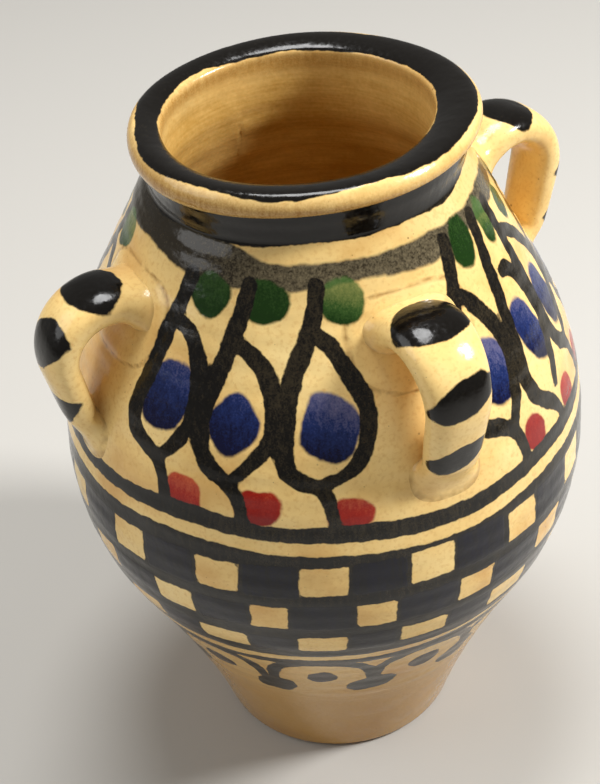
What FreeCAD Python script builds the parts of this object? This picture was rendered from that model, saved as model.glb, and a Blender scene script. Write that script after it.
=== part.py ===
"""Glazed earthenware jar with four strap handles, as a parametric FreeCAD document.

Millimetres and degrees. The origin is the centre of the foot's underside, +Z is the throwing axis.
The wall is one thrown piece. Each handle is a pulled strap luted to it with two pads of clay.
"""
import FreeCAD, Part
import math
import os

import Sketcher
from FreeCAD import Vector

SIZES = [
    ("foot_radius", 29.2, "flat foot, outside radius"),
    ("foot_bevel", 1.0, "rubbed edge of the foot"),
    ("flank_curve", 300.0, "radius of the hollow flank above the foot"),
    ("belly_radius", 60.3, "widest outside radius"),
    ("belly_height", 84.1, "height of the widest place above the foot"),
    ("lower_belly_curve", 58.0, "profile radius below the widest place"),
    ("upper_belly_curve", 78.0, "profile radius above the widest place"),
    ("ledge_radius", 36.2, "outer edge of the ledge that ends the shoulder"),
    ("shoulder_rise", 65.4, "height of that edge above the widest place"),
    ("ledge_step", 2.9, "rise of the ledge from its edge to the neck"),
    ("ledge_wall", 3.5, "depth of the wall below the ledge's edge"),
    ("neck_radius", 34.0, "outside radius at the foot of the neck"),
    ("neck_rise", 7.8, "height of the neck"),
    ("neck_flare", 1.4, "how far the neck opens over its height"),
    ("rim_overhang", 1.6, "how far the rim's lower edge stands out from the neck"),
    ("rim_depth", 4.8, "height of the rim's outer side"),
    ("rim_bulge", 1.1, "swell of the rim's outer side"),
    ("rim_draw", 1.2, "how far the rim's crest is drawn in from its lower edge"),
    ("lip_drop", 1.4, "fall of the rim's top from its crest to the mouth"),
    ("mouth_radius", 29.0, "bore of the mouth"),
    ("throat_rise", 0.5, "start of the bore above the ledge's edge"),
    ("wall", 5.5, "thickness of the thrown wall"),
    ("floor_wall", 7.0, "thickness of the floor"),
    ("strap_reach", 1.5, "strap's centre line, at its furthest, past the widest place"),
    ("crown_curve", 11.0, "radius of the strap's upper bend"),
    ("root_slope", 30.0, "rise of the strap as it leaves the shoulder, in degrees"),
    ("root_run", 13.0, "straight length before the upper bend"),
    ("drop_lean", 12.0, "inward lean of the strap's lower run, in degrees"),
    ("drop_run", 12.0, "length of the lower run"),
    ("tuck_curve", 9.0, "radius of the bend into the belly"),
    ("tuck_turn", 55.0, "angle of that bend, in degrees"),
    ("tuck_run", 9.0, "straight length after it"),
    ("strap_width_top", 17.5, "strap width at its upper end"),
    ("strap_width_low", 11.8, "strap width at its lower end"),
    ("strap_thick_top", 9.0, "strap thickness at its upper end"),
    ("strap_thick_low", 7.0, "strap thickness at its lower end"),
    ("upper_pad_width", 28.0, "upper pad, across"),
    ("upper_pad_length", 21.0, "upper pad, up and down the shoulder"),
    ("upper_pad_swell", 2.8, "upper pad, height over the wall at its middle"),
    ("upper_pad_drop", 1.9, "middle of the upper pad below where the strap's root meets the wall"),
    ("lower_pad_width", 21.0, "lower pad, across"),
    ("lower_pad_length", 13.0, "lower pad, up and down the belly"),
    ("lower_pad_swell", 2.6, "lower pad, height over the wall at its middle"),
    ("lower_pad_drop", 3.8, "middle of the lower pad below where the strap's tail meets the wall"),
    ("front_bearing", -91.8, "direction of the front handle from +X, in degrees"),
    ("right_bearing", 4.0, "direction of the right handle"),
    ("back_bearing", 88.5, "direction of the back handle"),
    ("left_bearing", -179.5, "direction of the left handle"),
    ("front_crown_drop", 11.9, "front strap's crown below the ledge's edge"),
    ("right_crown_drop", 5.7, "right strap's crown below the ledge's edge"),
    ("back_crown_drop", 10.1, "back strap's crown below the ledge's edge"),
    ("left_crown_drop", 14.1, "left strap's crown below the ledge's edge"),
]
HANDLES = ("front", "right", "back", "left")
# The turned faces' seam, in degrees from +X: between two handles, clear of their pads
SEAM_BEARING = 45.0

# Heights and radii that follow from the sizes above, as sheet expressions
LEDGE_Z = "(Sizes.belly_height + Sizes.shoulder_rise)"
NECK_Z = f"({LEDGE_Z} + Sizes.ledge_step)"
RIM_Z = f"({NECK_Z} + Sizes.neck_rise)"
TOP_Z = f"({RIM_Z} + Sizes.rim_depth)"
COLLAR_R = "(Sizes.neck_radius + Sizes.neck_flare)"
RIM_R = f"({COLLAR_R} + Sizes.rim_overhang)"
CREST_R = f"({RIM_R} - Sizes.rim_draw)"
HALF_RIM_SQUARED = "((Sizes.rim_draw^2 + Sizes.rim_depth^2) / 4)"
RIM_SIDE_R = f"(({HALF_RIM_SQUARED} + Sizes.rim_bulge^2) / (2 * Sizes.rim_bulge))"
STRAP_OUT_R = "(Sizes.belly_radius + Sizes.strap_reach)"

# The shoulder is the tangent from the ledge's edge to the upper belly curve
BELLY_CENTRE_R = "(Sizes.belly_radius - Sizes.upper_belly_curve)"
EDGE_OUT = f"(Sizes.ledge_radius - {BELLY_CENTRE_R})"
EDGE_FAR = f"sqrt({EDGE_OUT}^2 + Sizes.shoulder_rise^2)"
SHOULDER_LEAN = f"(atan2(Sizes.shoulder_rise; {EDGE_OUT}) - acos(Sizes.upper_belly_curve / {EDGE_FAR}))"

doc = FreeCAD.newDocument("strap_handled_jar")
sheet = doc.addObject("Spreadsheet::Sheet", "Sizes")
for row, (alias, value, meaning) in enumerate(SIZES, start=1):
    sheet.set(f"A{row}", meaning)
    sheet.set(f"B{row}", str(value))
    sheet.setAlias(f"B{row}", alias)
doc.recompute()


def value_of(expression):
    """A sheet expression's value now, in millimetres or degrees."""
    result = sheet.evalExpression(expression)
    return float(getattr(result, "Value", result))


def point(corner):
    """A corner's (radius, height) expressions as a sketch point."""
    radius, height = corner
    return Vector(value_of(radius), value_of(height), 0)


def around(centre, radius, angle):
    """The point of a circle at an angle in radians."""
    return centre + Vector(math.cos(angle), math.sin(angle), 0) * radius


def arc(centre, radius, start, end):
    """An arc that runs anticlockwise between two points of its circle."""
    angles = [math.atan2(place.y - centre.y, place.x - centre.x) for place in (start, end)]
    return Part.ArcOfCircle(Part.Circle(centre, Vector(0, 0, 1), radius), *angles)


def dimension(sketch, kind, places, expression):
    """Adds a dimension to the sketch and binds it to the sheet."""
    angular = kind == "Angle"
    start = math.radians(value_of(expression)) if angular else value_of(expression)
    index = sketch.addConstraint(Sketcher.Constraint(kind, *places, start))
    name = f"size_{index}"
    sketch.renameConstraint(index, name)
    sketch.setExpression(f"Constraints.{name}", f"({expression}) * 1 deg" if angular else expression)


def pin(sketch, curve, end, corner):
    """Holds one end of a curve at a corner; a zero puts it on the axis."""
    for kind, expression, axis in zip(("DistanceX", "DistanceY"), corner, (-2, -1)):
        if expression == "0":
            sketch.addConstraint(Sketcher.Constraint("PointOnObject", curve, end, axis))
        else:
            dimension(sketch, kind, (-1, 1, curve, end), expression)


def straights(sketch, corners):
    """Lines from corner to corner, as (curve, entering end, leaving end, corner it leaves by)."""
    steps = []
    for start, end in zip(corners, corners[1:]):
        steps.append((sketch.addGeometry(Part.LineSegment(point(start), point(end))), 1, 2, end))
    return steps


def close_outline(sketch, loop):
    """Joins the curves end to end: pinned at a corner, and tangent where none is stated."""
    for (curve, _, leaving, corner), (following, entering, _, _) in zip(loop, loop[1:] + loop[:1]):
        kind = "Coincident" if corner else "Tangent"
        sketch.addConstraint(Sketcher.Constraint(kind, curve, leaving, following, entering))
        if corner:
            pin(sketch, curve, leaving, corner)


def new_body(label, sketch_name):
    """A body with a sketch on its own upright plane: across is radius, up is height."""
    body = doc.addObject("PartDesign::Body", label)
    sketch = body.newObject("Sketcher::SketchObject", f"{label}_{sketch_name}")
    plane = next(item for item in body.Origin.OriginFeatures if item.Role == "XZ_Plane")
    sketch.AttachmentSupport = [(plane, "")]
    sketch.MapMode = "FlatFace"
    return body, sketch


def pot_side(sketch, foot, edge, inset):
    """Flank, two belly curves and shoulder, from the foot's corner up to the edge's.

    inset is how far the curve lies inside the outer wall, as an expression.
    """
    belly = (f"(Sizes.belly_radius - {inset})", "Sizes.belly_height")
    radii = {
        "flank": f"(Sizes.flank_curve + {inset})",
        "lower": f"(Sizes.lower_belly_curve - {inset})",
        "upper": f"(Sizes.upper_belly_curve - {inset})",
    }
    flank_r, lower_r, upper_r = (value_of(radii[part]) for part in ("flank", "lower", "upper"))
    lower_centre = point(belly) - Vector(lower_r, 0, 0)
    upper_centre = point(belly) - Vector(upper_r, 0, 0)

    # The flank's circle touches the lower belly's from outside and passes through the foot
    to_foot = point(foot) - lower_centre
    centres = flank_r + lower_r
    cosine = (centres**2 + to_foot.Length**2 - flank_r**2) / (2 * centres * to_foot.Length)
    bearing = math.atan2(to_foot.y, to_foot.x) + math.acos(cosine)
    flank_centre = around(lower_centre, centres, bearing)
    join = around(lower_centre, lower_r, bearing)

    # The shoulder is the tangent from the edge to the upper belly's circle
    to_edge = point(edge) - upper_centre
    lean = math.atan2(to_edge.y, to_edge.x) - math.acos(upper_r / to_edge.Length)
    top = around(upper_centre, upper_r, lean)

    curves = {
        "flank": sketch.addGeometry(arc(flank_centre, flank_r, join, point(foot))),
        "lower": sketch.addGeometry(arc(lower_centre, lower_r, join, point(belly))),
        "upper": sketch.addGeometry(arc(upper_centre, upper_r, point(belly), top)),
    }
    shoulder = sketch.addGeometry(Part.LineSegment(top, point(edge)))
    for part, curve in curves.items():
        dimension(sketch, "Radius", (curve,), radii[part])
    for part in ("lower", "upper"):
        dimension(sketch, "DistanceY", (-1, 1, curves[part], 3), "Sizes.belly_height")
    return [
        (curves["flank"], 2, 1, None),
        (curves["lower"], 1, 2, belly),
        (curves["upper"], 1, 2, None),
        (shoulder, 1, 2, edge),
    ]


def turned(body, sketch, loop):
    """Closes the outline and revolves it about the throwing axis."""
    close_outline(sketch, loop)
    body.Placement.Rotation = FreeCAD.Rotation(Vector(0, 0, 1), SEAM_BEARING)
    solid = body.newObject("PartDesign::Revolution", f"{body.Name}_turned")
    solid.Profile = sketch
    solid.ReferenceAxis = (sketch, ["V_Axis"])
    solid.Angle = 360
    return body


def make_outer_form():
    """The jar's outside as one solid."""
    body, sketch = new_body("outer_form", "outline")
    foot = ("Sizes.foot_radius", "Sizes.foot_bevel")
    edge = ("Sizes.ledge_radius", LEDGE_Z)
    rim_low = (RIM_R, RIM_Z)
    crest = (CREST_R, TOP_Z)
    loop = pot_side(sketch, foot, edge, "0")
    loop += straights(sketch, [edge, ("Sizes.neck_radius", NECK_Z), (COLLAR_R, RIM_Z), rim_low])

    chord = point(crest) - point(rim_low)
    inward = Vector(-chord.y, chord.x, 0).normalize()
    radius = value_of(RIM_SIDE_R)
    centre = point(rim_low) + chord * 0.5 + inward * (radius - value_of("Sizes.rim_bulge"))
    rim_side = sketch.addGeometry(arc(centre, radius, point(rim_low), point(crest)))
    dimension(sketch, "Radius", (rim_side,), RIM_SIDE_R)
    loop.append((rim_side, 1, 2, crest))

    base_edge = ("(Sizes.foot_radius - Sizes.foot_bevel)", "0")
    loop += straights(sketch, [crest, ("0", TOP_Z), ("0", "0"), base_edge, foot])
    return turned(body, sketch, loop)


def make_hollow():
    """What the wall goes round: the belly's inside, the mouth's bore and the fall of the rim's top."""
    body, sketch = new_body("hollow", "outline")
    floor_edge = ("(Sizes.foot_radius - Sizes.wall)", "Sizes.floor_wall")
    under_ledge = ("(Sizes.ledge_radius - Sizes.wall)", f"({LEDGE_Z} - Sizes.ledge_wall)")
    lip = ("Sizes.mouth_radius", f"({TOP_Z} - Sizes.lip_drop)")
    above = f"({TOP_Z} + Sizes.wall)"
    loop = pot_side(sketch, floor_edge, under_ledge, "Sizes.wall")
    throat = ("Sizes.mouth_radius", f"({LEDGE_Z} + Sizes.throat_rise)")
    over_crest = (CREST_R, above)
    corners = [under_ledge, throat, lip, (CREST_R, TOP_Z), over_crest, ("0", above)]
    loop += straights(sketch, corners + [("0", "Sizes.floor_wall"), floor_edge])
    return turned(body, sketch, loop)


def strap_path(sketch, centre):
    """A strap's centre line from shoulder to belly: root, crown bend, drop, tuck bend and tail.

    Returns the names of the root's and the tail's edges.
    """
    angles = ("root_slope", "drop_lean", "tuck_turn")
    slope, lean, turn = (math.radians(value_of(f"Sizes.{name}")) for name in angles)
    crown_r = value_of("Sizes.crown_curve")
    tuck_r = value_of("Sizes.tuck_curve")

    # Starting places, from the crown's centre both ways
    root_end = around(point(centre), crown_r, math.pi / 2 + slope)
    root_start = around(root_end, -value_of("Sizes.root_run"), slope)
    drop_top = around(point(centre), crown_r, -lean)
    drop_low = around(drop_top, -value_of("Sizes.drop_run"), math.pi / 2 - lean)
    tuck_centre = around(drop_low, -tuck_r, -lean)
    tail_end = around(tuck_centre, tuck_r, -lean - turn)
    tail_start = around(tail_end, -value_of("Sizes.tuck_run"), math.pi / 2 - lean - turn)

    root = sketch.addGeometry(Part.LineSegment(root_start, root_end))
    crown = sketch.addGeometry(arc(point(centre), crown_r, drop_top, root_end))
    drop = sketch.addGeometry(Part.LineSegment(drop_low, drop_top))
    tuck = sketch.addGeometry(arc(tuck_centre, tuck_r, tail_end, drop_low))
    tail = sketch.addGeometry(Part.LineSegment(tail_start, tail_end))
    pin(sketch, crown, 3, centre)
    joins = ((root, 2, crown, 2), (crown, 1, drop, 2), (drop, 1, tuck, 2), (tuck, 1, tail, 2))
    for join in joins:
        sketch.addConstraint(Sketcher.Constraint("Tangent", *join))
    for bend, name in ((crown, "crown_curve"), (tuck, "tuck_curve")):
        dimension(sketch, "Radius", (bend,), f"Sizes.{name}")
    runs = (
        (root, "Sizes.root_run", "Sizes.root_slope"),
        (drop, "Sizes.drop_run", "90 - Sizes.drop_lean"),
        (tail, "Sizes.tuck_run", "90 - Sizes.drop_lean - Sizes.tuck_turn"),
    )
    for line, length, angle in runs:
        dimension(sketch, "Distance", (line,), length)
        dimension(sketch, "Angle", (line,), angle)
    return f"Edge{root + 1}", f"Edge{tail + 1}"


def strap_section(body, path, edge, level):
    """The strap's round-edged section, square to the start of an edge of its path."""
    section = body.newObject("Sketcher::SketchObject", f"{body.Name}_section_{level}")
    section.AttachmentSupport = [(path, edge)]
    section.MapMode = "NormalToEdge"
    section.MapPathParameter = 0.0
    thick = f"Sizes.strap_thick_{level}"
    flat = f"(Sizes.strap_width_{level} - {thick})"
    across = Vector(value_of(flat) / 2, 0, 0)
    up = Vector(0, value_of(thick) / 2, 0)
    ends = [across - up, across + up, up - across, -up - across]
    right = section.addGeometry(arc(across, up.Length, ends[0], ends[1]))
    outer = section.addGeometry(Part.LineSegment(ends[1], ends[2]))
    left = section.addGeometry(arc(-across, up.Length, ends[2], ends[3]))
    inner = section.addGeometry(Part.LineSegment(ends[3], ends[0]))
    for join in ((right, 2, outer, 1), (outer, 2, left, 1), (left, 2, inner, 1), (inner, 2, right, 1)):
        section.addConstraint(Sketcher.Constraint("Tangent", *join))
    for round_edge in (right, left):
        section.addConstraint(Sketcher.Constraint("PointOnObject", round_edge, 3, -1))
    dimension(section, "DistanceX", (-1, 1, right, 3), f"{flat} / 2")
    dimension(section, "DistanceX", (left, 3, -1, 1), f"{flat} / 2")
    dimension(section, "Radius", (right,), f"{thick} / 2")
    return section


def make_strap(name):
    """A pulled strap, its ends still running on into the wall, turned to its bearing."""
    body, path = new_body(f"{name}_strap", "path")
    root, tail = strap_path(path, crown_centre(name))
    doc.recompute()
    top = strap_section(body, path, root, "top")
    low = strap_section(body, path, tail, "low")
    doc.recompute()
    sweep = body.newObject("PartDesign::AdditivePipe", f"{name}_strap_pulled")
    sweep.Profile = top
    sweep.Spine = path
    sweep.Transformation = "Multisection"
    sweep.Sections = [low]
    turn = f"create(<<rotation>>; Sizes.{name}_bearing; 0; 0)"
    body.setExpression("Placement", f"create(<<placement>>; create(<<vector>>; 0; 0; 0); {turn})")
    return body


def cut(label, base, tool):
    """What is left of base outside tool."""
    rest = doc.addObject("Part::Cut", label)
    rest.Base = base
    rest.Tool = tool
    return rest


def make_pad(name, level, height, outside, strap):
    """A pad of clay pressed round a strap's end: a flat dome on the wall with the strap through it."""
    dome = doc.addObject("Part::Ellipsoid", f"{name}_{level}_dome")
    dome.setExpression("Radius1", f"Sizes.{level}_pad_swell")
    dome.setExpression("Radius2", f"Sizes.{level}_pad_length / 2")
    dome.setExpression("Radius3", f"Sizes.{level}_pad_width / 2")
    bearing = f"Sizes.{name}_bearing"
    radius, lean = on_shoulder(height)
    across = f"{radius} * cos({bearing} * 1 deg); {radius} * sin({bearing} * 1 deg)"
    place = f"create(<<vector>>; {across}; {height})"
    # The dome's poles lie along the wall's normal, away from the line where it meets the wall
    turn = f"create(<<rotation>>; {bearing}; 90 deg - {lean}; 0)"
    dome.setExpression("Placement", f"create(<<placement>>; {place}; {turn})")
    on_wall = cut(f"{name}_{level}_dome_on_wall", dome, outside)
    return cut(f"{name}_{level}_pad", on_wall, strap)


def on_shoulder(height):
    """The outer wall's radius and lean at a height above the belly: on the belly curve or its tangent."""
    up = f"({height} - Sizes.belly_height)"
    lean = f"min(asin(min(1; {up} / Sizes.upper_belly_curve)); {SHOULDER_LEAN})"
    on_curve = f"({BELLY_CENTRE_R} + Sizes.upper_belly_curve * cos({lean}))"
    past_curve = f"({up} - Sizes.upper_belly_curve * sin({lean}))"
    return f"({on_curve} - {past_curve} * tan({lean}))", lean


def crown_centre(name):
    """Radius and height of the centre of a strap's upper bend."""
    drop = f"Sizes.{name}_crown_drop"
    return f"({STRAP_OUT_R} - Sizes.crown_curve)", f"({LEDGE_Z} - {drop} - Sizes.crown_curve)"


def tuck_centre(name):
    """Radius and height of the centre of a strap's lower bend."""
    crown_r, crown_z = crown_centre(name)
    tighter = "(Sizes.crown_curve - Sizes.tuck_curve)"
    lean = "Sizes.drop_lean * 1 deg"
    radius = f"({crown_r} + {tighter} * cos({lean}) - Sizes.drop_run * sin({lean}))"
    return radius, f"({crown_z} - {tighter} * sin({lean}) - Sizes.drop_run * cos({lean}))"


def meets_wall(centre, bend, side):
    """Height where a bend's circle crosses the wall, above or below its centre by the side's sign."""
    centre_r, centre_z = centre
    wall_r, lean = on_shoulder(centre_z)
    off = f"(({wall_r} - {centre_r}) * cos({lean}))"
    return f"({centre_z} + {off} * sin({lean}) {side} sqrt({bend}^2 - {off}^2) * cos({lean}))"


def make_handle(name, outside):
    """One handle's strap and its two pads, all trimmed to the wall."""
    strap = make_strap(name)
    root_z = meets_wall(crown_centre(name), "Sizes.crown_curve", "+")
    tail_z = meets_wall(tuck_centre(name), "Sizes.tuck_curve", "-")
    return [
        cut(f"handle_{name}", strap, outside),
        make_pad(name, "upper", f"({root_z} - Sizes.upper_pad_drop)", outside, strap),
        make_pad(name, "lower", f"({tail_z} - Sizes.lower_pad_drop)", outside, strap),
    ]


def check(pieces):
    """Stops if an object failed to compute or a piece isn't one sound solid."""
    for item in doc.Objects:
        if {"Invalid", "Error"} & set(item.State):
            raise RuntimeError(f"{item.Label} failed: {item.State}")
    for piece in pieces:
        shape = piece.Shape
        if shape.isNull() or not shape.isValid() or len(shape.Solids) != 1:
            raise RuntimeError(f"{piece.Label} is not one sound solid")


outside = make_outer_form()
pieces = [cut("vessel_body", outside, make_hollow())]
for handle in HANDLES:
    pieces += make_handle(handle, outside)
doc.recompute()
check(pieces)
os.makedirs("parts", exist_ok=True)
for piece in pieces:
    piece.Shape.exportStep(os.path.join("parts", f"{piece.Label}.step"))
    print(f"{piece.Label}: {piece.Shape.Volume / 1000:.2f} cm3")
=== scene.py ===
"""Hand-thrown glazed jar with four strap handles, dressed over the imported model.

Lengths in the code are millimetres and azimuths are degrees from the front (-Y) towards +X.
The meshes are written in metres.
"""
import math
import random
from functools import partial

import bpy
import numpy as np
from mathutils import Matrix, Vector


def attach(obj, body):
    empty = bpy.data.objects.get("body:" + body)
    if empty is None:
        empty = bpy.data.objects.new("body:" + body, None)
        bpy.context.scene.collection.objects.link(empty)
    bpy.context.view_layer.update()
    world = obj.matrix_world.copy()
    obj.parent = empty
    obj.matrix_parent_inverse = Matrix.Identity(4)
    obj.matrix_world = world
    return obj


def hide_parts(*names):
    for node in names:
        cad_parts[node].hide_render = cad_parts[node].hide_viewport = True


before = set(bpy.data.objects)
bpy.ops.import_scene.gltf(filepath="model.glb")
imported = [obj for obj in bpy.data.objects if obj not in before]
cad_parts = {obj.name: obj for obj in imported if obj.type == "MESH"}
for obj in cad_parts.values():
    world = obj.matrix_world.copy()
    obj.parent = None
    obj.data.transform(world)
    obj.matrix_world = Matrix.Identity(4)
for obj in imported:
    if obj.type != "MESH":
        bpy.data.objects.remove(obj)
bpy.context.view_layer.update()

bl_info = {
    "name": "Strap-handled jar",
    "version": (1, 0, 0),
    "blender": (4, 5, 0),
    "location": "View3D > Sidebar > Jar",
    "description": "Builds a glazed, painted jar with four strap handles over its packed model",
    "category": "Add Mesh",
}

MM = 0.001
FAR = 50.0


def linear(code):
    """An sRGB hex colour as a linear RGBA tuple."""
    channels = [int(code[place:place + 2], 16) / 255 for place in (1, 3, 5)]
    return tuple(c / 12.92 if c <= 0.04045 else ((c + 0.055) / 1.055) ** 2.4 for c in channels) + (1.0,)


def length(millimetres, label, meaning):
    """A length property in Blender units."""
    return bpy.props.FloatProperty(name=label, description=meaning, default=millimetres * MM, unit="LENGTH")


def angle(degrees, label, meaning):
    """An angle property."""
    return bpy.props.FloatProperty(
        name=label, description=meaning, default=math.radians(degrees), subtype="ANGLE", unit="ROTATION"
    )


def colour(code, label, meaning):
    """A colour property from an sRGB hex code."""
    return bpy.props.FloatVectorProperty(
        name=label, description=meaning, default=linear(code), subtype="COLOR", size=4, min=0.0, max=1.0
    )


class JarSizes(bpy.types.PropertyGroup):
    """Sizes of the thrown wall and of the straps, as in the part's own model."""

    foot_radius: length(29.2, "Foot radius", "Flat foot, outside")
    foot_bevel: length(1.0, "Foot bevel", "Rubbed edge of the foot")
    flank_curve: length(300.0, "Flank curve", "Radius of the hollow flank above the foot")
    belly_radius: length(60.3, "Belly radius", "Widest outside radius")
    belly_height: length(84.1, "Belly height", "Height of the widest place")
    lower_belly_curve: length(58.0, "Lower belly curve", "Profile radius below the widest place")
    upper_belly_curve: length(78.0, "Upper belly curve", "Profile radius above the widest place")
    ledge_radius: length(36.2, "Ledge radius", "Outer edge of the ledge that ends the shoulder")
    ledge_height: length(149.5, "Ledge height", "Height of that edge")
    ledge_step: length(2.9, "Ledge step", "Rise of the ledge to the neck")
    ledge_wall: length(3.5, "Ledge wall", "Depth of the wall below the ledge")
    neck_radius: length(34.0, "Neck radius", "Outside radius at the foot of the neck")
    neck_rise: length(7.8, "Neck rise", "Height of the neck")
    neck_flare: length(1.4, "Neck flare", "How far the neck opens over its height")
    rim_overhang: length(1.6, "Rim overhang", "How far the rim stands out from the neck")
    rim_depth: length(4.8, "Rim depth", "Height of the rim's outer side")
    rim_bulge: length(1.1, "Rim bulge", "Swell of the rim's outer side")
    rim_draw: length(1.2, "Rim draw", "How far the crest is drawn in")
    lip_drop: length(1.4, "Lip drop", "Fall of the rim's top to the mouth")
    rim_crown: length(0.55, "Rim crown", "Swell of the rim's top between its crest and the mouth")
    mouth_radius: length(29.0, "Mouth radius", "Bore of the mouth")
    throat_rise: length(0.5, "Throat rise", "Start of the bore above the ledge's edge")
    wall: length(5.5, "Wall", "Thickness of the thrown wall")
    floor_wall: length(7.0, "Floor", "Thickness of the floor")
    strap_reach: length(1.5, "Strap reach", "Strap's centre line past the widest place")
    crown_curve: length(11.0, "Crown curve", "Radius of the strap's upper bend")
    root_slope: angle(30.0, "Root slope", "Rise of the strap as it leaves the shoulder")
    root_run: length(13.0, "Root run", "Straight length before the upper bend")
    drop_lean: angle(12.0, "Drop lean", "Inward lean of the strap's lower run")
    drop_run: length(12.0, "Drop run", "Length of the lower run")
    tuck_curve: length(9.0, "Tuck curve", "Radius of the bend into the belly")
    tuck_turn: angle(55.0, "Tuck turn", "Angle of that bend")
    tuck_run: length(9.0, "Tuck run", "Straight length after it")
    strap_width_top: length(17.5, "Strap width, top", "Strap width at its upper end")
    strap_width_low: length(11.8, "Strap width, low", "Strap width at its lower end")
    strap_thick_top: length(9.0, "Strap thickness, top", "Strap thickness at its upper end")
    strap_thick_low: length(7.0, "Strap thickness, low", "Strap thickness at its lower end")


class JarColours(bpy.types.PropertyGroup):
    """Colours of the glaze, the clay and the painter's slips."""

    cream: colour("#ECC880", "Cream slip", "Slip under the clear glaze")
    pale: colour("#F4D896", "Pale slip", "Where the slip lies thick")
    honey: colour("#D3A25A", "Thin slip", "Where the slip lies thin and the clay shows through")
    # Foot: tan clay, darkened further with painted shade of the jar's lower part; it also browns the rim's
    # outer side and the pressed lines
    foot: colour("#A87B3C", "Foot", "Tan clay of the foot and of worn edges")
    speck: colour("#7E5527", "Specks", "Iron specks in the slip")
    ochre: colour("#DDB468", "Inside", "Bare clay inside the jar")
    # Painted shade: the inside's clay as it looks shaded in the throwing grooves
    ochre_groove_shade: colour("#BC9142", "Inside, deep", "Clay inside, in the throwing grooves")
    ink: colour("#0C0906", "Ink", "Black slip where it lies thick")
    ink_thin: colour("#2F281B", "Thin ink", "Black slip where it is brushed thin")
    wash: colour("#71664E", "Wash", "Thin black wash round the shoulder's top")
    navy: colour("#06081F", "Navy", "Dark cells of the checks")
    blue: colour("#05072C", "Blue", "Blue ovals, thick")
    blue_thin: colour("#2F4A92", "Blue, thin", "Blue ovals, brushed thin")
    green: colour("#123004", "Green", "Green dots, thick")
    green_thin: colour("#507336", "Green, thin", "Green dots, brushed thin")
    red: colour("#860D06", "Red", "Red dots, thick")
    red_thin: colour("#CC3A22", "Red, thin", "Red dots, brushed thin")
    umber: colour("#2A130B", "Umber", "Brown dots of the lower frieze")
    floor: colour("#BAB7B1", "Floor", "Studio floor and backdrop")


# Painted pattern. Azimuths here are from the pattern's own zero, which faces the photographed side.
PATTERN_TURN = -27.0

# Each looped stem: its own line, the branch that closes the loop, and its three coloured dots. The points
# were read on the photo, unrolled over a shoulder that ended at a wider and higher ledge. The script
# carries those above a height along the camera's line of sight to the wall itself.
READ_LEDGE = (39.9, 151.4)
CARRIED_ABOVE = 111.0
# Shares of the way from the camera to a read point between which its sight line meets the wall
SIGHT_SHARES = (0.9, 1.1)
SIGHT_HALVINGS = 40

LEFT_MOTIF = {
    "stem": (
        (-35.6, 147.0), (-37.0, 143.5), (-38.6, 139.5), (-40.4, 136.0), (-42.0, 131.5), (-43.6, 127.0),
        (-45.6, 122.0), (-47.0, 117.5), (-46.3, 113.6), (-43.0, 111.0), (-39.4, 109.6), (-37.2, 107.0),
        (-36.0, 103.5), (-35.5, 99.5),
    ),
    "branch": (
        (-38.6, 137.2), (-35.4, 136.6), (-32.6, 134.4), (-30.8, 131.0), (-30.0, 127.0), (-30.2, 122.0),
        (-31.6, 117.4), (-34.2, 113.4), (-37.6, 110.2),
    ),
    "blue": (-38.3, 122.0, 7.2, 7.1, 0.15, 0.30),
    "green": (-29.2, 144.0, 6.0, 4.1, 0.0, 0.20),
    "red": (-31.4, 103.2, 5.1, 4.3, 0.0, 0.45),
}
MIDDLE_MOTIF = {
    "stem": (
        (-18.2, 147.0), (-19.8, 142.5), (-21.6, 137.5), (-23.6, 132.5), (-25.6, 128.0), (-27.4, 123.5),
        (-28.3, 118.5), (-27.8, 114.0), (-25.6, 110.6), (-22.6, 108.8), (-20.0, 106.8), (-18.4, 103.5),
        (-17.4, 99.5),
    ),
    "branch": (
        (-21.0, 135.6), (-17.6, 134.3), (-14.4, 131.8), (-12.2, 128.2), (-11.2, 124.0), (-11.5, 119.6),
        (-13.2, 116.0), (-16.2, 112.6), (-20.2, 109.0),
    ),
    "blue": (-20.6, 119.7, 6.3, 5.7, 0.0, 0.25),
    "green": (-14.0, 144.1, 6.6, 4.1, 0.0, 0.12),
    "red": (-14.6, 103.4, 5.4, 4.1, 0.0, 0.25),
}
RIGHT_MOTIF = {
    "stem": (
        (0.0, 147.0), (-0.8, 143.0), (-2.4, 138.5), (-4.6, 134.5), (-6.6, 130.5), (-8.0, 126.0),
        (-8.7, 120.5), (-9.0, 115.0), (-8.4, 111.4), (-5.6, 109.4), (-2.2, 108.4), (-0.2, 106.0),
        (0.7, 102.5), (0.9, 99.5),
    ),
    "branch": (
        (-0.8, 137.8), (2.2, 136.0), (4.8, 132.6), (7.2, 129.0), (9.4, 125.6), (10.1, 121.8),
        (9.2, 117.4), (7.0, 113.2), (3.6, 110.6), (-1.2, 108.8),
    ),
    "blue": (1.3, 119.9, 7.0, 6.6, 0.0, 0.45),
    "green": (6.5, 143.8, 6.2, 4.2, 0.0, 0.62),
    "red": (4.2, 102.0, 5.2, 3.9, 0.0, 0.35),
}
NEAR_MOTIF = {
    "stem": (
        (39.2, 149.0), (38.6, 143.5), (37.6, 139.5), (35.8, 135.0), (34.2, 129.0), (33.4, 122.5),
        (33.6, 116.0), (36.2, 112.0), (40.6, 110.2), (43.8, 108.0), (45.6, 104.5), (46.4, 99.0),
    ),
    "branch": (
        (38.4, 139.4), (41.2, 137.0), (44.4, 134.0), (47.2, 130.4), (49.2, 126.0), (49.6, 121.0),
        (48.6, 116.4), (46.8, 112.6), (44.6, 109.2),
    ),
    "blue": (43.6, 121.0, 6.0, 7.2, 0.0, 0.45),
    "green": (45.6, 147.0, 5.0, 4.6, 0.0, 0.10),
    "red": (50.6, 104.0, 4.1, 4.1, 0.0, 0.15),
}
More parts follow.
